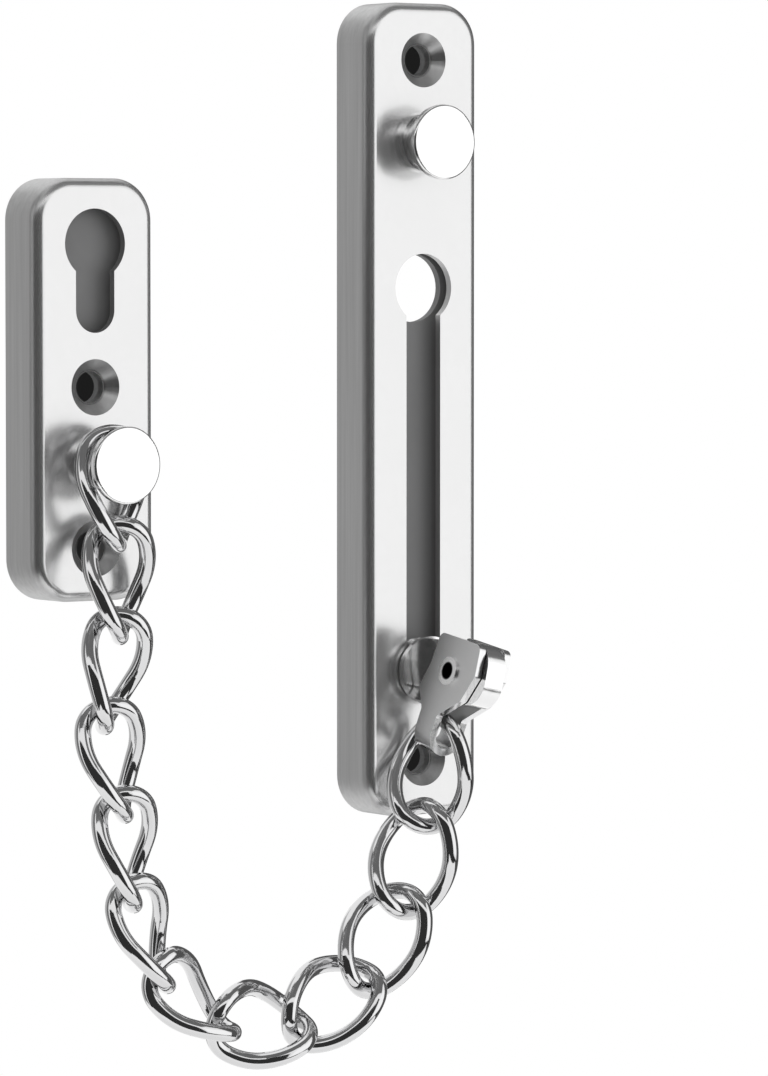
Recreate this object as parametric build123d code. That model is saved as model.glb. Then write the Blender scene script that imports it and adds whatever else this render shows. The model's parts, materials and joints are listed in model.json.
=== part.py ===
from build123d import *
import math
import os

# Door chain for a hinged door: an anchor plate, a track plate and the chain that hangs between them.
# Millimetres. The wall is the plane y = 0, +Z is up and the fronts face -Y.
# The origin is the middle of the back of the track plate.

# Pressed plates
PLATE_WIDTH = 20.0
PLATE_DEPTH = 8.0
SHEET = 1.2
CORNER_RADIUS = 6.0
FRONT_EDGE_RADIUS = 1.6
TRACK_LENGTH = 120.0
ANCHOR_LENGTH = 60.0
ANCHOR_X = -57.0
ANCHOR_Z = 3.8

# Screw dimples, measured from the front face
DIMPLE_RADIUS = 4.0
DIMPLE_SEAT_RADIUS = 2.4
DIMPLE_DEPTH = 1.6
SCREW_HOLE_RADIUS = 2.25
TRACK_SCREW_SPACING = 103.2
ANCHOR_SCREW_SPACING = 22.9
ANCHOR_SCREW_MIDDLE = -7.25

# Keyholes and slots
TRACK_KEYHOLE_Z = 18.1
TRACK_KEYHOLE_RADIUS = 5.05
TRACK_SLOT_WIDTH = 6.1
SLIDE_TRAVEL = 56.5
ANCHOR_KEYHOLE_Z = 24.5
ANCHOR_KEYHOLE_RADIUS = 5.0
ANCHOR_SLOT_WIDTH = 6.4
ANCHOR_SLOT_LENGTH = 9.4

# Studs, heights measured in front of the plate
STUD_HEAD_RADIUS = 5.5
STUD_HEAD_THICKNESS = 1.0
STUD_HEAD_EDGE = 0.35
RIVET_RADIUS = 2.2
RIVET_HEAD_RADIUS = 3.3
RIVET_HEAD_THICKNESS = 0.8
ANCHOR_STUD_Z = -6.6
ANCHOR_STUD_HEIGHT = 8.6
ANCHOR_NECK_RADIUS = 3.0
ANCHOR_BASE_RADIUS = 4.2
ANCHOR_BASE_HEIGHT = 1.0
PARK_STUD_Z = 39.5
PARK_STUD_HEIGHT = 5.5
PARK_NECK_RADIUS = 3.6
PARK_BASE_RADIUS = 4.4
PARK_RING_RADIUS = 4.2
PARK_BASE_HEIGHT = 1.0
PARK_RING_LOW = 1.9
PARK_RING_HIGH = 2.8

# Slider stud
SLIDER_FLANGE_THICKNESS = 1.0
SLIDER_COLLAR_RADIUS = 4.6
SLIDER_COLLAR_THICKNESS = 0.7
SLIDER_GROOVE_WIDTH = 0.25
SLIDER_DISC_RADIUS = 5.1
SLIDER_DISC_THICKNESS = 0.8
TANG_THICKNESS = 3.2
TANG_HALF_HEIGHT = 4.6
TANG_REACH = 18.0
TANG_END_RADIUS = 3.6
SWIVEL = 12.4

# Clip and its hollow pin
CLIP_SHEET = 1.1
CLIP_LEAN = 13.0
PIN_HEIGHT = 10.4
PIN_RADIUS = 1.6
PIN_BORE_RADIUS = 1.15
PIN_HEAD_RADIUS = 2.1
PIN_HEAD_THICKNESS = 0.35
CHEEK_TOP_FRONT = (5.6, 5.6)
CHEEK_NOSE = (6.5, 1.0)
CHEEK_FRONT = (4.9, -3.2)
CHEEK_TOP_BACK = (-4.8, 4.7)
CHEEK_BACK = (-4.9, 0.0)
CHEEK_HEEL = (-6.0, -4.0)
CHEEK_TOP_ROUND = 1.2
CHEEK_SIDE_ROUND = 0.7
TAIL_CENTER = -1.65
TAIL_WIDTH = 4.2
TAIL_SHOULDER = -6.8
TAIL_BOTTOM = -12.5

# Chain: twisted links of round wire
LINK_COUNT = 12
WIRE = 2.4
LINK_HALF_LENGTH = 8.0
LINK_HALF_WIDTH = 5.4
LINK_TWIST = 45.0
LINK_HAND = -1
STUD_CHAIN_HEIGHT = 4.6
LOOP_CHAIN_HEIGHT = 6.4
LOOP_LIFT = 4.0

# Resting direction of each link in whole degrees, turned from straight down towards the track plate
LINK_HEADINGS = [6, 2, -10, 12, 6, 22, 52, 84, 116, 145, 161, 166]
# Turn of each link about its own length in whole degrees
LINK_ROLLS = [-16, -19, -23, -24, -29, -34, -39, -22, -23, -28, -42, -57]

# Clearances
SLOT_CLEARANCE = 0.25
FLANGE_CLEARANCE = 0.35
FACE_CLEARANCE = 0.3
BACK_PLATE_CLEARANCE = 0.2
RIVET_CLEARANCE = 0.05
PIN_CLEARANCE = 0.05
CHEEK_CLEARANCE = 0.15
SEAT_CLEARANCE = 0.3
LINK_CLEARANCE = 0.7

# Derived sizes
COVER_INSIDE = PLATE_DEPTH - SHEET
BACK_PLATE_FRONT = PLATE_DEPTH - DIMPLE_DEPTH - SHEET
BACK_PLATE_BACK = BACK_PLATE_FRONT - SHEET
SLIDER_Z = TRACK_KEYHOLE_Z - SLIDE_TRAVEL
SLIDER_NECK_RADIUS = TRACK_SLOT_WIDTH / 2 - SLOT_CLEARANCE
SLIDER_FLANGE_RADIUS = TRACK_KEYHOLE_RADIUS - FLANGE_CLEARANCE
CHEEK_INSIDE = TANG_THICKNESS / 2 + CHEEK_CLEARANCE
CHEEK_OUTSIDE = CHEEK_INSIDE + CLIP_SHEET
TAIL_BEND_Z = TAIL_BOTTOM + CHEEK_OUTSIDE
ANCHOR_SLOT_END = ANCHOR_KEYHOLE_Z - ANCHOR_SLOT_LENGTH
LINK_PITCH = 2 * LINK_HALF_LENGTH - WIRE - LINK_CLEARANCE
TIP_TO_PIVOT = (WIRE + LINK_CLEARANCE) / 2
STUD_TO_TIP = ANCHOR_NECK_RADIUS + SEAT_CLEARANCE + WIRE / 2

# In this plane x runs to the right, y runs up and z is the distance in front of the wall.
FRONT = Plane(origin=(0, 0, 0), x_dir=(1, 0, 0), z_dir=(0, -1, 0))
TRACK_AT = Pos(0, 0, 0)
ANCHOR_AT = Pos(ANCHOR_X, ANCHOR_Z, 0)


def rounded_block(width, length, corner, depth, edge):
    block = extrude(RectangleRounded(width, length, corner), depth)
    return fillet(block.edges().group_by(Axis.Z)[-1], edge)


def disc(radius, low, high, y=0.0):
    return Pos(0, y, low) * Cylinder(radius, high - low, align=(Align.CENTER, Align.CENTER, Align.MIN))


def taper(low_radius, high_radius, low, high, y=0.0):
    cone = Cone(low_radius, high_radius, high - low, align=(Align.CENTER, Align.CENTER, Align.MIN))
    return Pos(0, y, low) * cone


def turned(outline):
    return revolve(make_face(Plane.XZ * Polyline(*outline, close=True)), Axis.Z)


# A cover is a pressed tray: open at the back, with a dimple for each screw head
def cover(length, screw_spots, keyhole_y, keyhole_radius, slot_width, slot_end, rivet_y):
    outside = rounded_block(PLATE_WIDTH, length, CORNER_RADIUS, PLATE_DEPTH, FRONT_EDGE_RADIUS)
    inner_corner = max(CORNER_RADIUS - SHEET, 0.5)
    inner_edge = max(FRONT_EDGE_RADIUS - SHEET, 0.3)
    inside = rounded_block(PLATE_WIDTH - 2 * SHEET, length - 2 * SHEET, inner_corner, COVER_INSIDE, inner_edge)
    tray = outside - inside
    dimple_low = PLATE_DEPTH - DIMPLE_DEPTH
    for y in screw_spots:
        tray += taper(DIMPLE_SEAT_RADIUS + 0.8 * SHEET, DIMPLE_RADIUS + 0.3 * SHEET,
                      BACK_PLATE_FRONT, COVER_INSIDE + 0.3 * SHEET, y)
    for y in screw_spots:
        tray -= taper(DIMPLE_SEAT_RADIUS, DIMPLE_RADIUS, dimple_low, PLATE_DEPTH, y)
        tray -= disc(SCREW_HOLE_RADIUS, BACK_PLATE_FRONT - 1, PLATE_DEPTH, y)
    hole = Pos(0, keyhole_y) * Circle(keyhole_radius)
    hole += Pos(0, (keyhole_y + slot_end) / 2) * Rectangle(slot_width, keyhole_y - slot_end)
    hole += Pos(0, slot_end) * Circle(slot_width / 2)
    tray -= Pos(0, 0, COVER_INSIDE - 0.5 * SHEET) * extrude(hole, 2 * SHEET)
    tray -= disc(RIVET_RADIUS + RIVET_CLEARANCE, COVER_INSIDE - SHEET, PLATE_DEPTH + SHEET, rivet_y)
    return tray


# A back plate lies inside its cover, against the backs of the dimples
def back_plate(length, screw_spots, rivet_y):
    margin = SHEET + BACK_PLATE_CLEARANCE
    outline = RectangleRounded(PLATE_WIDTH - 2 * margin, length - 2 * margin, max(CORNER_RADIUS - margin, 0.5))
    plate = Pos(0, 0, BACK_PLATE_BACK) * extrude(outline, SHEET)
    for y in screw_spots:
        plate -= disc(SCREW_HOLE_RADIUS, BACK_PLATE_BACK - 1, BACK_PLATE_FRONT + 1, y)
    plate -= disc(RIVET_RADIUS + RIVET_CLEARANCE, BACK_PLATE_BACK - 1, BACK_PLATE_FRONT + 1, rivet_y)
    return plate


# A plate stud is turned in one piece and riveted behind the back plate
def plate_stud(height, neck_steps):
    outline = [(0, BACK_PLATE_BACK - RIVET_HEAD_THICKNESS)]
    outline += [(RIVET_HEAD_RADIUS, BACK_PLATE_BACK - RIVET_HEAD_THICKNESS), (RIVET_HEAD_RADIUS, BACK_PLATE_BACK)]
    outline += [(RIVET_RADIUS, BACK_PLATE_BACK), (RIVET_RADIUS, PLATE_DEPTH)]
    low = 0.0
    for radius, high in neck_steps:
        outline += [(radius, PLATE_DEPTH + low), (radius, PLATE_DEPTH + high)]
        low = high
    under_head = height - STUD_HEAD_THICKNESS
    outline += [(STUD_HEAD_RADIUS, PLATE_DEPTH + under_head), (STUD_HEAD_RADIUS, PLATE_DEPTH + height)]
    outline += [(0, PLATE_DEPTH + height)]
    stud = turned(outline)
    return fillet(stud.edges().group_by(Axis.Z)[-1], STUD_HEAD_EDGE)


track_screws = [TRACK_SCREW_SPACING / 2, -TRACK_SCREW_SPACING / 2]
anchor_low = ANCHOR_SCREW_MIDDLE - ANCHOR_SCREW_SPACING / 2 - ANCHOR_Z
anchor_screws = [anchor_low + ANCHOR_SCREW_SPACING, anchor_low]

track_cover = cover(TRACK_LENGTH, track_screws, TRACK_KEYHOLE_Z, TRACK_KEYHOLE_RADIUS,
                    TRACK_SLOT_WIDTH, SLIDER_Z, PARK_STUD_Z)
anchor_cover = cover(ANCHOR_LENGTH, anchor_screws, ANCHOR_KEYHOLE_Z - ANCHOR_Z, ANCHOR_KEYHOLE_RADIUS,
                     ANCHOR_SLOT_WIDTH, ANCHOR_SLOT_END - ANCHOR_Z, ANCHOR_STUD_Z - ANCHOR_Z)

track_back_plate = back_plate(TRACK_LENGTH, track_screws, PARK_STUD_Z)
track_back_plate -= disc(TRACK_KEYHOLE_RADIUS, BACK_PLATE_BACK - 1, BACK_PLATE_FRONT + 1, TRACK_KEYHOLE_Z)
anchor_back_plate = back_plate(ANCHOR_LENGTH, anchor_screws, ANCHOR_STUD_Z - ANCHOR_Z)

park_under_head = PARK_STUD_HEIGHT - STUD_HEAD_THICKNESS
park_steps = [(PARK_BASE_RADIUS, PARK_BASE_HEIGHT), (PARK_NECK_RADIUS, PARK_RING_LOW)]
park_steps += [(PARK_RING_RADIUS, PARK_RING_HIGH), (PARK_NECK_RADIUS, park_under_head)]
park_stud = Pos(0, PARK_STUD_Z, 0) * plate_stud(PARK_STUD_HEIGHT, park_steps)

anchor_under_head = ANCHOR_STUD_HEIGHT - STUD_HEAD_THICKNESS
anchor_steps = [(ANCHOR_BASE_RADIUS, ANCHOR_BASE_HEIGHT), (ANCHOR_NECK_RADIUS, anchor_under_head)]
anchor_stud = Pos(0, ANCHOR_STUD_Z - ANCHOR_Z, 0) * plate_stud(ANCHOR_STUD_HEIGHT, anchor_steps)


# The slider stud is trapped behind the slot by its flange and carries a flat tang in front
def make_slider_stud():
    flange_low = COVER_INSIDE - FACE_CLEARANCE - SLIDER_FLANGE_THICKNESS
    flange_high = flange_low + SLIDER_FLANGE_THICKNESS
    collar_low = PLATE_DEPTH + FACE_CLEARANCE
    collar_high = collar_low + SLIDER_COLLAR_THICKNESS
    disc_low = collar_high + SLIDER_GROOVE_WIDTH
    disc_high = disc_low + SLIDER_DISC_THICKNESS
    stud = disc(SLIDER_FLANGE_RADIUS, flange_low, flange_high)
    stud += disc(SLIDER_NECK_RADIUS, flange_low, disc_high)
    stud += disc(SLIDER_COLLAR_RADIUS, collar_low, collar_high)
    stud += disc(SLIDER_DISC_RADIUS, disc_low, disc_high)
    tang_end = PLATE_DEPTH + TANG_REACH
    tang = Pos(0, 0, disc_low) * Box(TANG_THICKNESS, 2 * TANG_HALF_HEIGHT, tang_end - disc_low,
                                     align=(Align.CENTER, Align.CENTER, Align.MIN))
    end_corners = tang.edges().filter_by(Axis.X).group_by(Axis.Z)[-1]
    stud += fillet(end_corners, TANG_END_RADIUS)
    pin_hole = Cylinder(PIN_RADIUS + PIN_CLEARANCE, 2 * TANG_THICKNESS, rotation=(0, 90, 0))
    return stud - Pos(0, 0, PLATE_DEPTH + PIN_HEIGHT) * pin_hole


# The clip is one strip folded at the bottom of its tail into two cheeks.
# Its outline is given as outward and upward distances from the pin, with the tail hanging straight down.
def make_slider_clip():
    tail_back = TAIL_CENTER - TAIL_WIDTH / 2
    tail_front = TAIL_CENTER + TAIL_WIDTH / 2
    corners = [CHEEK_TOP_BACK, CHEEK_TOP_FRONT, CHEEK_NOSE, CHEEK_FRONT, (tail_front, TAIL_SHOULDER)]
    corners += [(tail_front, TAIL_BEND_Z), (tail_back, TAIL_BEND_Z), (tail_back, TAIL_SHOULDER)]
    corners += [CHEEK_HEEL, CHEEK_BACK]
    outline = [(up, out) for out, up in corners]
    cheek = extrude(make_face(Plane.YZ * Polyline(*outline, close=True)), CLIP_SHEET)
    uprights = cheek.edges().filter_by(Axis.X).sort_by(Axis.Y)
    cheek = fillet(uprights[2:8], CHEEK_SIDE_ROUND)
    cheek = fillet(cheek.edges().filter_by(Axis.X).sort_by(Axis.Y)[-2:], CHEEK_TOP_ROUND)
    right = Pos(CHEEK_INSIDE, 0, 0) * cheek
    ring = Circle(CHEEK_OUTSIDE) - Circle(CHEEK_INSIDE)
    bend = ring & Pos(0, -CHEEK_OUTSIDE) * Rectangle(4 * CHEEK_OUTSIDE, 2 * CHEEK_OUTSIDE)
    clip = right + mirror(right, Plane.YZ)
    clip += Pos(0, TAIL_BEND_Z, tail_back) * extrude(bend, TAIL_WIDTH)
    return clip - Cylinder(PIN_RADIUS + PIN_CLEARANCE, 4 * CHEEK_OUTSIDE, rotation=(0, 90, 0))


def make_clip_pin():
    head_end = CHEEK_OUTSIDE + PIN_HEAD_THICKNESS
    outline = [(PIN_BORE_RADIUS, -head_end), (PIN_HEAD_RADIUS, -head_end), (PIN_HEAD_RADIUS, -CHEEK_OUTSIDE)]
    outline += [(PIN_RADIUS, -CHEEK_OUTSIDE), (PIN_RADIUS, CHEEK_OUTSIDE), (PIN_HEAD_RADIUS, CHEEK_OUTSIDE)]
    outline += [(PIN_HEAD_RADIUS, head_end), (PIN_BORE_RADIUS, head_end)]
    return Rot(0, 90, 0) * turned(outline)


SLIDER_AT = Pos(0, SLIDER_Z, 0) * Rot(0, 0, -SWIVEL)
PIN_AT = SLIDER_AT * Pos(0, 0, PLATE_DEPTH + PIN_HEIGHT) * Rot(CLIP_LEAN, 0, 0)
slider_stud = SLIDER_AT * make_slider_stud()
slider_clip = PIN_AT * make_slider_clip()
clip_pin = PIN_AT * make_clip_pin()


# One link is a loop of round wire whose plane turns by twice the twist from its first end to its last
def link_point(t):
    twist = math.radians(LINK_TWIST) * math.cos(t)
    reach = LINK_HALF_WIDTH * math.sin(t)
    return Vector(LINK_HALF_LENGTH * math.cos(t), reach * math.cos(twist), LINK_HAND * reach * math.sin(twist))


def link_tangent(t):
    small = 1e-5
    return (link_point(t + small) - link_point(t - small)).normalized()


def wire_arc(start, tangent, end):
    chord = end - start
    normal = tangent.cross(chord)
    half_turn = math.atan2(normal.length, tangent.dot(chord))
    radius = chord.length / (2 * math.sin(half_turn))
    axis = Axis(start + normal.normalized().cross(tangent) * radius, normal.normalized())
    section = Plane(origin=start, z_dir=tangent) * Circle(WIRE / 2)
    return revolve(section, axis, math.degrees(2 * half_turn))


# A quarter of the loop is a tight arc round the end and a wide one along the leg, meeting smoothly
def wire_quarter(t_start, t_end):
    start = link_point(t_start)
    end = link_point(t_end)
    first = link_tangent(t_start)
    last = link_tangent(t_end)
    span = end - start
    both = span.dot(first + last)
    turn = 2 * (1 - first.dot(last))
    reach = (math.sqrt(both ** 2 + turn * span.dot(span)) - both) / turn
    meet = (start + end + (first - last) * reach) * 0.5
    return [wire_arc(start, first, meet), wire_arc(end, last * -1, meet)]


arcs = []
for quarter in range(4):
    arcs += wire_quarter(quarter * math.pi / 2, (quarter + 1) * math.pi / 2)
link = arcs[0].fuse(*arcs[1:])


# The chain runs in one plane in front of the plates, from the anchor stud to the loop of the clip
def link_direction(heading):
    return Vector(math.sin(math.radians(heading)), 0, -math.cos(math.radians(heading)))


def chain_end(headings):
    lengths = [LINK_PITCH] * LINK_COUNT
    lengths[0] = 2 * LINK_HALF_LENGTH - STUD_TO_TIP - TIP_TO_PIVOT
    lengths[-1] = 2 * LINK_HALF_LENGTH - TIP_TO_PIVOT
    reach = Vector(0, 0, 0)
    for heading, length in zip(headings, lengths):
        reach += link_direction(heading) * length
    return reach


# Two smooth corrections of the headings bring the last link exactly to the loop of the clip
def bent(a, b):
    middle = (LINK_COUNT - 1) / 2
    return [h + a + b * (k - middle) for k, h in enumerate(LINK_HEADINGS)]


def closed_headings(target):
    a = 0.0
    b = 0.0
    step = 1e-4
    for turn in range(60):
        here = chain_end(bent(a, b))
        miss = target - here
        slope_a = (chain_end(bent(a + step, b)) - here) * (1 / step)
        slope_b = (chain_end(bent(a, b + step)) - here) * (1 / step)
        scale = slope_a.X * slope_b.Z - slope_b.X * slope_a.Z
        move_a = (miss.X * slope_b.Z - slope_b.X * miss.Z) / scale
        move_b = (slope_a.X * miss.Z - miss.X * slope_a.Z) / scale
        ease = min(1.0, 4.0 / (abs(move_a) + 4 * abs(move_b) + 1e-9))
        a += ease * move_a
        b += ease * move_b
    return bent(a, b)


loop_point = PIN_AT * Pos(0, TAIL_BOTTOM + CLIP_SHEET + LOOP_LIFT, TAIL_CENTER)
loop = FRONT.from_local_coords(loop_point.position)
stud_axis = Vector(ANCHOR_X, -PLATE_DEPTH - STUD_CHAIN_HEIGHT, ANCHOR_STUD_Z)
loop_axis = Vector(loop.X, stud_axis.Y, loop.Z)
headings = closed_headings(loop_axis - stud_axis)

pivots = [stud_axis]
chain = []
for k in range(LINK_COUNT):
    along = link_direction(headings[k])
    start_offset = STUD_TO_TIP if k == 0 else TIP_TO_PIVOT
    middle = pivots[-1] + along * (LINK_HALF_LENGTH - start_offset)
    tip = middle + along * LINK_HALF_LENGTH
    pivots.append(tip if k == LINK_COUNT - 1 else tip - along * TIP_TO_PIVOT)
    out = Vector(0, -1, 0)
    roll = math.radians(LINK_ROLLS[k])
    normal = out * math.cos(roll) + along.cross(out) * math.sin(roll)
    forward = (LOOP_CHAIN_HEIGHT - STUD_CHAIN_HEIGHT) * k / (LINK_COUNT - 1)
    chain.append(Plane(origin=middle + out * forward, x_dir=along, z_dir=normal) * link)

os.makedirs("parts", exist_ok=True)
export_step(FRONT * ANCHOR_AT * anchor_cover, "parts/anchor_cover.step")
export_step(FRONT * ANCHOR_AT * anchor_back_plate, "parts/anchor_back_plate.step")
export_step(FRONT * ANCHOR_AT * anchor_stud, "parts/anchor_stud.step")
export_step(FRONT * TRACK_AT * track_cover, "parts/track_cover.step")
export_step(FRONT * TRACK_AT * track_back_plate, "parts/track_back_plate.step")
export_step(FRONT * TRACK_AT * park_stud, "parts/park_stud.step")
export_step(FRONT * slider_stud, "parts/slider_stud.step")
export_step(FRONT * slider_clip, "parts/slider_clip.step")
export_step(FRONT * clip_pin, "parts/clip_pin.step")
for k, piece in enumerate(chain):
    export_step(piece, f"parts/chain_link_{k + 1:02d}.step")

pin = FRONT.from_local_coords(PIN_AT.position)
pin_end = FRONT.from_local_coords((PIN_AT * Pos(1, 0, 0)).position)
print("pin", [round(v, 4) for v in pin], "axis", [round(v, 5) for v in pin_end - pin])
print("headings", [round(h, 3) for h in headings])
for k, pivot in enumerate(pivots):
    print("pivot", k, [round(v, 4) for v in pivot])
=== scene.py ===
import json
import math
import bpy
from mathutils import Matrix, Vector


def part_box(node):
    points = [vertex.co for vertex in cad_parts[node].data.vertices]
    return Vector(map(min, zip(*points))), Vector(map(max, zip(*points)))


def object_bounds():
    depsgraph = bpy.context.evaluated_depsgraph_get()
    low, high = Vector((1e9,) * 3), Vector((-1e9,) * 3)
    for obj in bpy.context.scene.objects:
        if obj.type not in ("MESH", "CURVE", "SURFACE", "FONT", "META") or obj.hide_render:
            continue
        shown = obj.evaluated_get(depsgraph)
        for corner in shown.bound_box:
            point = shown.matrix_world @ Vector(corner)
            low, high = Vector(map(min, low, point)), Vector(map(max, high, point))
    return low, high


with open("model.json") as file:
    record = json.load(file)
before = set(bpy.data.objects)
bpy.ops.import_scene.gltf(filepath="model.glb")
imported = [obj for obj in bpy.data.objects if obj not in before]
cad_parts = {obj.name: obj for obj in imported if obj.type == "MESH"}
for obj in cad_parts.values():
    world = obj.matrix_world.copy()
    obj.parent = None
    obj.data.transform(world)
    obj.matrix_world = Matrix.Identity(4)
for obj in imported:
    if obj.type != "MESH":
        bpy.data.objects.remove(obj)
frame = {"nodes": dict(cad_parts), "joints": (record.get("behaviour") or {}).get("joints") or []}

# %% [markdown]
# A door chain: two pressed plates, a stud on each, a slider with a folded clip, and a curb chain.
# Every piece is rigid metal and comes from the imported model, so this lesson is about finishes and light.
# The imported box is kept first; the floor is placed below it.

bpy.ops.object.select_all(action="DESELECT")
cad_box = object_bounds()
nodes = frame["nodes"]
print("pieces", len(nodes), "box", [[round(v, 4) for v in corner] for corner in cad_box])

# %% [markdown]
# Finishes are node trees. Small helpers keep the trees short: one adds a node with its values, one
# starts a metal with its Principled shader in the material itself, one maps a value to a range, and
# one turns a single tone into a gray base colour.

# %% Helpers for node trees
def add_node(tree, kind, values=None, **settings):
    node = tree.nodes.new(kind)
    for name, value in settings.items():
        setattr(node, name, value)
    for name, value in (values or {}).items():
        node.inputs[name].default_value = value
    return node


def start_metal(name):
    material = bpy.data.materials.new(name)
    material.use_nodes = True
    tree = material.node_tree
    shader = tree.nodes["Principled BSDF"]
    shader.inputs["Metallic"].default_value = 1.0
    place = add_node(tree, "ShaderNodeTexCoord")
    return material, tree, shader, place


def ranged(tree, source, values):
    ramp = add_node(tree, "ShaderNodeMapRange", values)
    tree.links.new(source, ramp.inputs["Value"])
    return ramp.outputs["Result"]


def gray_base(tree, tone, shader):
    gray = add_node(tree, "ShaderNodeCombineColor")
    for channel in ("Red", "Green", "Blue"):
        tree.links.new(tone, gray.inputs[channel])
    tree.links.new(gray.outputs["Color"], shader.inputs["Base Color"])


print("helpers ready")

# %% [markdown]
# Brushing leaves fine parallel scratches. Noise that is squeezed across the grain and stretched
# along it gives them. The same group with an even squeeze gives the fine tooth of plain sheet, so it
# serves the plates, their back sheets and the clip.

# %% A group for brushed grain
GRAIN_NOISE = {"Scale": 1.0, "Detail": 4.0, "Roughness": 0.6}


def make_grain_group():
    group = bpy.data.node_groups.new("brushed_grain", "ShaderNodeTree")
    group.interface.new_socket("Vector", in_out="INPUT", socket_type="NodeSocketVector")
    group.interface.new_socket("Squeeze", in_out="INPUT", socket_type="NodeSocketVector")
    group.interface.new_socket("Grain", in_out="OUTPUT", socket_type="NodeSocketFloat")
    inside = add_node(group, "NodeGroupInput")
    outside = add_node(group, "NodeGroupOutput")
    scale = add_node(group, "ShaderNodeVectorMath", operation="MULTIPLY")
    noise = add_node(group, "ShaderNodeTexNoise", GRAIN_NOISE)
    group.links.new(inside.outputs["Vector"], scale.inputs[0])
    group.links.new(inside.outputs["Squeeze"], scale.inputs[1])
    group.links.new(scale.outputs[0], noise.inputs["Vector"])
    group.links.new(noise.outputs["Fac"], outside.inputs["Grain"])
    return group


brushed_grain = make_grain_group()
print("group", brushed_grain.name)

# %% [markdown]
# Nickel that is handled gets faint cloudy patches where the polish is duller. The second group
# mixes a large and a small noise into one mask, which most finishes here use on roughness or tone.

# %% A group for handling marks
BROAD_MARKS = {"Scale": 90.0, "Detail": 3.0}
FINE_MARKS = {"Scale": 900.0, "Detail": 2.0}


def make_handling_group():
    group = bpy.data.node_groups.new("handling_marks", "ShaderNodeTree")
    group.interface.new_socket("Vector", in_out="INPUT", socket_type="NodeSocketVector")
    group.interface.new_socket("Marks", in_out="OUTPUT", socket_type="NodeSocketFloat")
    inside = add_node(group, "NodeGroupInput")
    outside = add_node(group, "NodeGroupOutput")
    both = add_node(group, "ShaderNodeMath", operation="MULTIPLY")
    for count, values in enumerate((BROAD_MARKS, FINE_MARKS)):
        noise = add_node(group, "ShaderNodeTexNoise", values)
        group.links.new(inside.outputs["Vector"], noise.inputs["Vector"])
        group.links.new(noise.outputs["Fac"], both.inputs[count])
    group.links.new(both.outputs[0], outside.inputs["Marks"])
    return group


handling_marks = make_handling_group()
print("group", handling_marks.name)

# %% [markdown]
# A finish places a group on Object coordinates, so that the pattern stays on the piece when it
# moves. Height goes through a Bump node, which turns the fine relief into a normal.

# %% Helpers that place the groups
BUMP_DISTANCE = 0.00004


def grain_of(tree, place, squeeze):
    grain = add_node(tree, "ShaderNodeGroup", node_tree=brushed_grain)
    grain.inputs["Squeeze"].default_value = squeeze
    tree.links.new(place.outputs["Object"], grain.inputs["Vector"])
    return grain.outputs["Grain"]


def marks_of(tree, place, limits):
    marks = add_node(tree, "ShaderNodeGroup", node_tree=handling_marks)
    tree.links.new(place.outputs["Object"], marks.inputs["Vector"])
    return ranged(tree, marks.outputs["Marks"], {"To Min": limits[0], "To Max": limits[1]})


def bump_from(tree, height, strength, shader):
    bump = add_node(tree, "ShaderNodeBump", {"Strength": strength, "Distance": BUMP_DISTANCE})
    tree.links.new(height, bump.inputs["Height"])
    tree.links.new(bump.outputs["Normal"], shader.inputs["Normal"])


print("bump distance", BUMP_DISTANCE)

# %% [markdown]
# The plates are pressed from sheet and plated. Their fronts are buffed to a pale satin, while the drawn
# side walls keep a grain that runs up and down and are painted darker, as painted shade on the walls. The
# surface normal tells which is which.
# The narrow seat at the bottom of each screw dimple is painted dark, as painted shade inside the hole, and
# its depth tells it apart.
# The fronts are a little less metallic than the edges, so that they turn gray and not black where
# they mirror something dark.

# %% Satin plate with brushed sides
PLATE_GRAIN = (1500.0, 1500.0, 30.0)
PLATE_BUMP = 0.12
FRONT_BY_NORMAL = {"From Min": 0.55, "From Max": 0.95}
# Side walls: real brushed grain streaks on a lower tone that is painted shade.
SIDE_GRAIN_AND_PAINTED_SHADE = {"From Min": 0.3, "From Max": 0.7, "To Min": 0.54, "To Max": 0.64}
# Painted shade: the tone falls towards the bottom of each screw hole.
SEAT_SHADE_BY_DEPTH = {"From Min": -0.0066, "From Max": -0.00645, "To Min": 1.0, "To Max": 0.12}
FRONT_TONE = (0.80, 0.86)
SIDE_FRONT_ROUGHNESS = {"A": 0.42, "B": 0.23}
SIDE_FRONT_METALLIC = {"A": 1.0, "B": 0.86}


def side_to_front(tree, front, values=None):
    mix = add_node(tree, "ShaderNodeMix", values, data_type="FLOAT")
    tree.links.new(front, mix.inputs["Factor"])
    return mix


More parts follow.
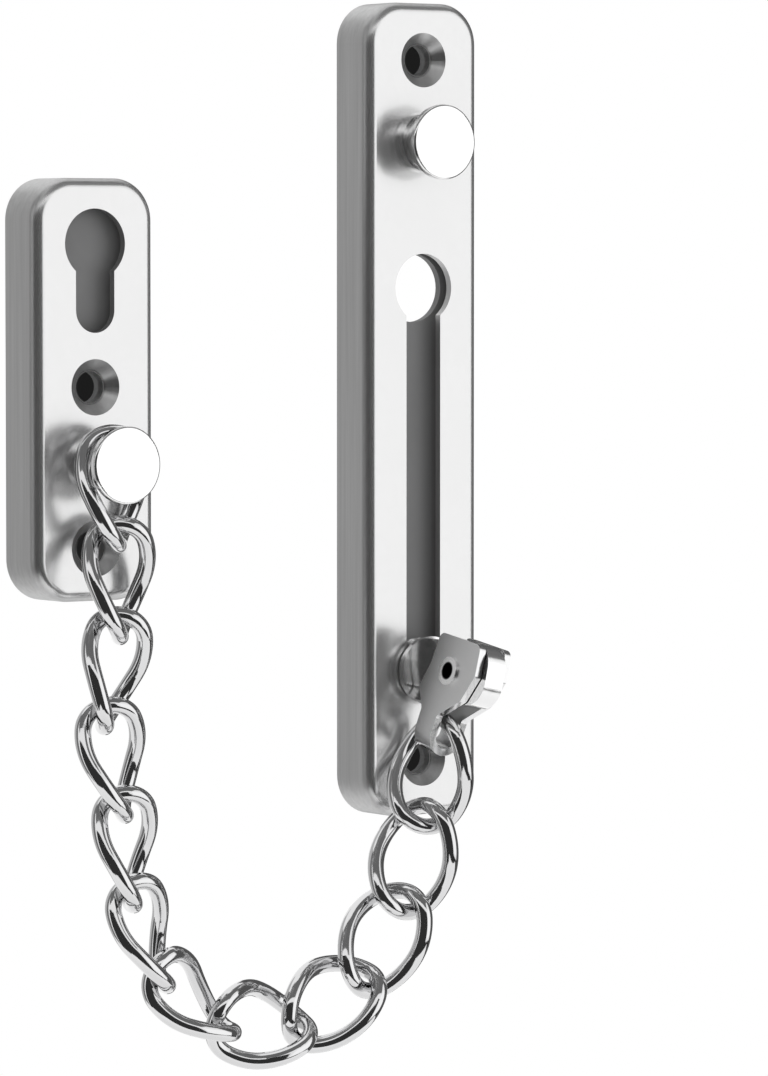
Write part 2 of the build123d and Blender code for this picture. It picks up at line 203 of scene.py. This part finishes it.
def plate_finish():
    material, tree, shader, place = start_metal("plate_satin_nickel")
    grain = grain_of(tree, place, PLATE_GRAIN)
    facing = add_node(tree, "ShaderNodeSeparateXYZ")
    tree.links.new(place.outputs["Normal"], facing.inputs[0])
    flat = add_node(tree, "ShaderNodeMath", operation="ABSOLUTE")
    tree.links.new(facing.outputs["Y"], flat.inputs[0])
    front = ranged(tree, flat.outputs[0], FRONT_BY_NORMAL)
    sunk = add_node(tree, "ShaderNodeSeparateXYZ")
    tree.links.new(place.outputs["Object"], sunk.inputs[0])
    # Front tone: real handling marks times the painted shade in the screw seats.
    front_marks_and_seat_shade = add_node(tree, "ShaderNodeMath", operation="MULTIPLY")
    tree.links.new(marks_of(tree, place, FRONT_TONE), front_marks_and_seat_shade.inputs[0])
    tree.links.new(ranged(tree, sunk.outputs["Y"], SEAT_SHADE_BY_DEPTH), front_marks_and_seat_shade.inputs[1])
    tone = side_to_front(tree, front)
    tree.links.new(ranged(tree, grain, SIDE_GRAIN_AND_PAINTED_SHADE), tone.inputs["A"])
    tree.links.new(front_marks_and_seat_shade.outputs[0], tone.inputs["B"])
    gray_base(tree, tone.outputs["Result"], shader)
    rough = side_to_front(tree, front, SIDE_FRONT_ROUGHNESS)
    tree.links.new(rough.outputs["Result"], shader.inputs["Roughness"])
    bare = side_to_front(tree, front, SIDE_FRONT_METALLIC)
    tree.links.new(bare.outputs["Result"], shader.inputs["Metallic"])
    bump_from(tree, grain, PLATE_BUMP, shader)
    return material


plate_satin = plate_finish()
print("finish", plate_satin.name)

# %% [markdown]
# The back plates are plain plated sheet, duller than the covers, and their dark gray colour is partly
# painted shade for the recess behind the covers. From the front they are seen only through the slot and
# the keyholes.

# %% Dull sheet for the back plates
# Dull plated sheet, made darker as painted shade for the slot and keyholes.
SHEET_TONE_AND_PAINTED_SHADE = (0.3, 0.3, 0.302, 1.0)
SHEET_METALLIC = 0.35
SHEET_ROUGHNESS = (0.52, 0.72)
SHEET_GRAIN = (500.0, 500.0, 500.0)
SHEET_BUMP = 0.15


def sheet_finish():
    material, tree, shader, place = start_metal("back_sheet_zinc_painted_shade")
    shader.inputs["Base Color"].default_value = SHEET_TONE_AND_PAINTED_SHADE
    shader.inputs["Metallic"].default_value = SHEET_METALLIC
    tree.links.new(marks_of(tree, place, SHEET_ROUGHNESS), shader.inputs["Roughness"])
    bump_from(tree, grain_of(tree, place, SHEET_GRAIN), SHEET_BUMP, shader)
    return material


back_sheet = sheet_finish()
print("finish", back_sheet.name)

# %% [markdown]
# The studs are turned on a lathe, which leaves fine rings round the axis. A ring pattern is a wave
# of the distance from that axis, so each stud's tree is centred on its own place.

# %% Turned studs
STUD_COLOR = (0.95, 0.95, 0.95, 1.0)
STUD_ROUGHNESS = (0.12, 0.3)
RING_RADIANS_PER_METRE = 9000.0
STUD_BUMP = 0.03


def turned_finish(name, node):
    material, tree, shader, place = start_metal(name)
    shader.inputs["Base Color"].default_value = STUD_COLOR
    low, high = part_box(node)
    middle = (low + high) / 2
    shift = add_node(tree, "ShaderNodeMapping")
    shift.inputs["Location"].default_value = (-middle.x, 0.0, -middle.z)
    tree.links.new(place.outputs["Object"], shift.inputs["Vector"])
    flatten = add_node(tree, "ShaderNodeVectorMath", operation="MULTIPLY")
    flatten.inputs[1].default_value = (1.0, 0.0, 1.0)
    tree.links.new(shift.outputs["Vector"], flatten.inputs[0])
    radius = add_node(tree, "ShaderNodeVectorMath", operation="LENGTH")
    tree.links.new(flatten.outputs["Vector"], radius.inputs[0])
    turns = add_node(tree, "ShaderNodeMath", {1: RING_RADIANS_PER_METRE}, operation="MULTIPLY")
    tree.links.new(radius.outputs["Value"], turns.inputs[0])
    rings = add_node(tree, "ShaderNodeMath", operation="SINE")
    tree.links.new(turns.outputs[0], rings.inputs[0])
    tree.links.new(marks_of(tree, place, STUD_ROUGHNESS), shader.inputs["Roughness"])
    bump_from(tree, rings.outputs[0], STUD_BUMP, shader)
    return material


stud_nodes = ("anchor_stud", "park_stud", "slider_stud")
stud_finish = {node: turned_finish(node + "_turned_nickel", node) for node in stud_nodes}
print("finishes", [m.name for m in stud_finish.values()])

# %% [markdown]
# The chain is polished bright before plating. It mirrors the room, so it needs little colour of its
# own, only a low roughness that wanders slightly and a hint of waviness from the bent wire.

# %% Polished chain wire
CHAIN_COLOR = (0.75, 0.75, 0.755, 1.0)
CHAIN_ROUGHNESS = (0.05, 0.17)
CHAIN_WAVES = {"Scale": 420.0, "Detail": 2.0}
CHAIN_BUMP = 0.18


def chain_finish():
    material, tree, shader, place = start_metal("chain_bright_nickel")
    shader.inputs["Base Color"].default_value = CHAIN_COLOR
    tree.links.new(marks_of(tree, place, CHAIN_ROUGHNESS), shader.inputs["Roughness"])
    waves = add_node(tree, "ShaderNodeTexNoise", CHAIN_WAVES)
    tree.links.new(place.outputs["Object"], waves.inputs["Vector"])
    bump_from(tree, waves.outputs["Fac"], CHAIN_BUMP, shader)
    return material


chain_bright = chain_finish()
print("finish", chain_bright.name)

# %% [markdown]
# The clip is tumbled sheet with a matt gray face, and its punched edges are rubbed smooth. The faces
# look along the pin, so the angle between the surface and the pin separates face from edge.

# %% Matt clip with smooth edges
CLIP_TONE = {"From Min": 0.5, "From Max": 0.95, "To Min": 0.85, "To Max": 0.9}
CLIP_ROUGHNESS = {"From Min": 0.5, "From Max": 0.95, "To Min": 0.18, "To Max": 0.4}
CLIP_GRAIN = (1800.0, 1800.0, 1800.0)
CLIP_BUMP = 0.2
clip_joint = [joint for joint in frame["joints"] if joint["name"] == "clip_pivot"][0]


def clip_finish():
    material, tree, shader, place = start_metal("clip_matt_nickel")
    along_pin = add_node(tree, "ShaderNodeVectorMath", operation="DOT_PRODUCT")
    along_pin.inputs[1].default_value = clip_joint["axis"]
    tree.links.new(place.outputs["Normal"], along_pin.inputs[0])
    face = add_node(tree, "ShaderNodeMath", operation="ABSOLUTE")
    tree.links.new(along_pin.outputs["Value"], face.inputs[0])
    gray_base(tree, ranged(tree, face.outputs[0], CLIP_TONE), shader)
    tree.links.new(ranged(tree, face.outputs[0], CLIP_ROUGHNESS), shader.inputs["Roughness"])
    bump_from(tree, grain_of(tree, place, CLIP_GRAIN), CLIP_BUMP, shader)
    return material


clip_matt = clip_finish()
print("finish", clip_matt.name)

# %% [markdown]
# The pin is a hollow rivet: a bright rolled rim round a bore whose near-black colour is painted shade
# inside the bore. The distance from the pin's axis tells rim from bore.

# %% Hollow pin
# Inside the bore radius the base colour is painted shade; outside it is the bright rim.
PIN_BORE_SHADE_BY_RADIUS = {"From Min": 0.00122, "From Max": 0.0014, "To Min": 0.02, "To Max": 0.85}
PIN_ROUGHNESS = (0.15, 0.3)


def pin_finish():
    material, tree, shader, place = start_metal("pin_bright_nickel")
    from_pin = add_node(tree, "ShaderNodeVectorMath", operation="SUBTRACT")
    from_pin.inputs[1].default_value = clip_joint["pos_m"]
    tree.links.new(place.outputs["Object"], from_pin.inputs[0])
    across = add_node(tree, "ShaderNodeVectorMath", operation="CROSS_PRODUCT")
    across.inputs[1].default_value = clip_joint["axis"]
    tree.links.new(from_pin.outputs["Vector"], across.inputs[0])
    radius = add_node(tree, "ShaderNodeVectorMath", operation="LENGTH")
    tree.links.new(across.outputs["Vector"], radius.inputs[0])
    gray_base(tree, ranged(tree, radius.outputs["Value"], PIN_BORE_SHADE_BY_RADIUS), shader)
    tree.links.new(marks_of(tree, place, PIN_ROUGHNESS), shader.inputs["Roughness"])
    return material


pin_bright = pin_finish()
print("finish", pin_bright.name)

# %% [markdown]
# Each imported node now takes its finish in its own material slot. What isn't named here is a link.

# %% Give every node its finish
finish_of = {
    "track_cover": plate_satin,
    "anchor_cover": plate_satin,
    "track_back_plate": back_sheet,
    "anchor_back_plate": back_sheet,
    "slider_clip": clip_matt,
    "clip_pin": pin_bright,
    **stud_finish,
}
for name, node in nodes.items():
    node.data.materials.clear()
    node.data.materials.append(finish_of.get(name, chain_bright))
print("dressed", len(nodes), "nodes")

# %% [markdown]
# The camera stands in front and to the left, a little above, with a long lens as for a catalogue
# picture. The numbers are the viewing direction, the distance and the point that it looks at.

# %% Camera
VIEW_AZIMUTH = math.radians(-35.0)
VIEW_ELEVATION = math.radians(2.9)
VIEW_DISTANCE = 0.801
VIEW_POINT = Vector((-0.0085, -0.010, -0.0185))
SENSOR_WIDTH_MM = 36.0
LENS_MM = 256.0


def direction(azimuth, elevation):
    flat = math.cos(elevation)
    return Vector((math.sin(azimuth) * flat, -math.cos(azimuth) * flat, math.sin(elevation)))


camera_data = bpy.data.cameras.new("catalogue_camera")
camera_data.sensor_fit = "HORIZONTAL"
camera_data.sensor_width = SENSOR_WIDTH_MM
camera_data.lens = LENS_MM
camera = bpy.data.objects.new("catalogue_camera", camera_data)
bpy.context.scene.collection.objects.link(camera)
toward = direction(VIEW_AZIMUTH, VIEW_ELEVATION)
camera.location = VIEW_POINT + toward * VIEW_DISTANCE
camera.rotation_euler = (-toward).to_track_quat("-Z", "Y").to_euler()
bpy.context.scene.camera = camera
print("camera at", [round(v, 3) for v in camera.location])

# %% [markdown]
# The room is white where the camera or a mirror sees it, and softer as light. Light Path tells the
# kinds of ray apart, so the background is white without more light on the metal.

# %% White room
WHITE = (1.0, 1.0, 1.0, 1.0)
ROOM_LIGHT = 0.6


def seen_directly(tree):
    path = add_node(tree, "ShaderNodeLightPath")
    mirror = add_node(tree, "ShaderNodeMath", operation="MAXIMUM")
    seen = add_node(tree, "ShaderNodeMath", operation="MAXIMUM")
    tree.links.new(path.outputs["Is Camera Ray"], mirror.inputs[0])
    tree.links.new(path.outputs["Is Glossy Ray"], mirror.inputs[1])
    tree.links.new(mirror.outputs[0], seen.inputs[0])
    tree.links.new(path.outputs["Is Transmission Ray"], seen.inputs[1])
    return seen.outputs[0]


world = bpy.data.worlds.new("white_room")
world.use_nodes = True
bpy.context.scene.world = world
room = world.node_tree
ambient = room.nodes["Background"]
ambient.inputs["Color"].default_value = WHITE
ambient.inputs["Strength"].default_value = ROOM_LIGHT
white = add_node(room, "ShaderNodeBackground", {"Color": WHITE, "Strength": 1.0})
choose = add_node(room, "ShaderNodeMixShader")
room.links.new(seen_directly(room), choose.inputs["Fac"])
room.links.new(ambient.outputs[0], choose.inputs[1])
room.links.new(white.outputs[0], choose.inputs[2])
room.links.new(choose.outputs[0], room.nodes["World Output"].inputs["Surface"])
bpy.context.scene.view_settings.view_transform = "Standard"
print("world", world.name)

# %% [markdown]
# A pale floor lies below the hanging chain. It stays pale to the camera and still takes shadows.
# Towards its edge it fades to the white of the room, so that no edge shows from above.

# %% Pale floor
FLOOR_SIZE = 0.7
FLOOR_DROP = 0.2
FLOOR_X = -0.03
FLOOR_COLOR = (0.92, 0.92, 0.92, 1.0)
FLOOR_ROUGHNESS = 0.9
FLOOR_FADE = {"From Min": 0.08, "From Max": 0.34, "To Min": 0.8, "To Max": 1.0}


def floor_finish():
    material = bpy.data.materials.new("floor_pale")
    material.use_nodes = True
    tree = material.node_tree
    shader = tree.nodes["Principled BSDF"]
    shader.inputs["Base Color"].default_value = FLOOR_COLOR
    shader.inputs["Roughness"].default_value = FLOOR_ROUGHNESS
    glow = add_node(tree, "ShaderNodeEmission", {"Strength": 1.0})
    place = add_node(tree, "ShaderNodeTexCoord")
    reach = add_node(tree, "ShaderNodeVectorMath", operation="LENGTH")
    tree.links.new(place.outputs["Object"], reach.inputs[0])
    fade = add_node(tree, "ShaderNodeMapRange", FLOOR_FADE, interpolation_type="SMOOTHSTEP")
    tree.links.new(reach.outputs["Value"], fade.inputs["Value"])
    share = add_node(tree, "ShaderNodeMath", operation="MULTIPLY")
    tree.links.new(seen_directly(tree), share.inputs[0])
    tree.links.new(fade.outputs["Result"], share.inputs[1])
    mix = add_node(tree, "ShaderNodeMixShader")
    tree.links.new(share.outputs[0], mix.inputs["Fac"])
    tree.links.new(shader.outputs[0], mix.inputs[1])
    tree.links.new(glow.outputs[0], mix.inputs[2])
    tree.links.new(mix.outputs[0], tree.nodes["Material Output"].inputs["Surface"])
    return material


floor_place = (FLOOR_X, 0.0, cad_box[0][2] - FLOOR_DROP)
bpy.ops.mesh.primitive_plane_add(size=FLOOR_SIZE, location=floor_place)
floor = bpy.context.object
floor.name = "pale_floor"
floor.data.materials.append(floor_finish())
print("floor at", round(floor.location.z, 3))

# %% [markdown]
# Bright metal looks like metal only when it has something dark to mirror. Gray cards stand round the
# camera and beside the plates. They are seen in reflections only, and they throw no shadow.
# Each row holds azimuth and elevation in degrees, width and height in metres, and the shade.

# %% Cards to mirror
CARDS = {
    "card_camera": (-43, -12, 1.48, 0.94, 0.035),
    "card_left": (-118, 0, 0.30, 1.20, 0.20),
    "card_beside": (-154, 0, 0.50, 1.20, 0.55),
    "card_right": (105, 0, 1.20, 1.20, 0.10),
    "card_below": (-10, -68, 1.30, 0.50, 0.02),
    "card_above": (-35, 62, 1.30, 0.50, 0.16),
    "card_low": (34, -48, 0.80, 0.46, 0.03),
    "card_high": (34, 60, 0.80, 0.46, 0.16),
}
CARD_DISTANCE = 0.6


def shade_of(tree, shade):
    glow = add_node(tree, "ShaderNodeEmission", {"Color": (shade, shade, shade, 1.0), "Strength": 1.0})
    return glow.outputs[0]


def card_finish(name, shade):
    material = bpy.data.materials.new(name + "_shade")
    material.use_nodes = True
    tree = material.node_tree
    tree.links.new(shade_of(tree, shade), tree.nodes["Material Output"].inputs["Surface"])
    return material


for name, (azimuth, elevation, width, height, shade) in CARDS.items():
    away = direction(math.radians(azimuth), math.radians(elevation))
    bpy.ops.mesh.primitive_plane_add(size=1.0, location=VIEW_POINT + away * CARD_DISTANCE)
    card = bpy.context.object
    card.name = name
    card.scale = (width, height, 1.0)
    card.rotation_euler = away.to_track_quat("Z", "Y").to_euler()
    card.data.materials.append(card_finish(name, shade))
    card.visible_camera = False
    card.visible_diffuse = False
    card.visible_shadow = False
print("cards", len(CARDS))

# %% [markdown]
# A dark disc lies behind each screw hole as painted shade, so the holes look shaded and dark. From behind
# the discs are clear, and the backs of the plates can be seen. The insets are the heights of the holes
# above the lower end of their plate.

# %% Dark discs of painted shade behind the screw holes
DISC_RADIUS = 0.007
DISC_CORNERS = 48
DISC_GAP = 0.0004
DISC_SHADE = 0.012
SCREW_INSET = {"track_cover": (0.0084, 0.1116), "anchor_cover": (0.0075, 0.0304)}


def painted_hole_shade_finish():
    material = bpy.data.materials.new("hole_disc_shade")
    material.use_nodes = True
    tree = material.node_tree
    facing = add_node(tree, "ShaderNodeNewGeometry")
    clear = add_node(tree, "ShaderNodeBsdfTransparent")
    mix = add_node(tree, "ShaderNodeMixShader")
    tree.links.new(facing.outputs["Backfacing"], mix.inputs["Fac"])
    tree.links.new(shade_of(tree, DISC_SHADE), mix.inputs[1])
    tree.links.new(clear.outputs[0], mix.inputs[2])
    tree.links.new(mix.outputs[0], tree.nodes["Material Output"].inputs["Surface"])
    return material


# Each disc glows a near-black shade and stands in for the shade inside its hole.
hole_shade = painted_hole_shade_finish()
for name, insets in SCREW_INSET.items():
    low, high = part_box(name)
    for count, inset in enumerate(insets, 1):
        center = ((low.x + high.x) / 2, high.y + DISC_GAP, low.z + inset)
        bpy.ops.mesh.primitive_circle_add(
            vertices=DISC_CORNERS, radius=DISC_RADIUS, fill_type="NGON", location=center)
        disc = bpy.context.object
        disc.name = f"{name}_hole_disc_{count}"
        disc.rotation_euler = (math.radians(90.0), 0.0, 0.0)
        disc.data.materials.append(hole_shade)
        disc.visible_diffuse = False
        disc.visible_shadow = False
print("discs behind the holes of", list(SCREW_INSET))

# %% [markdown]
# Two soft boxes give the plain studio light: a large one in front on the right and a smaller one
# above. Each row holds azimuth and elevation in degrees, size in metres and power in watts.

# %% Soft boxes
LAMPS = {
    "soft_front": (35, 0, 0.7, 0.26),
    "soft_top": (-60, 65, 0.3, 0.5),
}
LAMP_DISTANCE = 0.9
for name, (azimuth, elevation, size, power) in LAMPS.items():
    lamp_data = bpy.data.lights.new(name, "AREA")
    lamp_data.size = size
    lamp_data.energy = power
    lamp = bpy.data.objects.new(name, lamp_data)
    bpy.context.scene.collection.objects.link(lamp)
    away = direction(math.radians(azimuth), math.radians(elevation))
    lamp.location = VIEW_POINT + away * LAMP_DISTANCE
    lamp.rotation_euler = away.to_track_quat("Z", "Y").to_euler()
print("lamps", len(LAMPS))
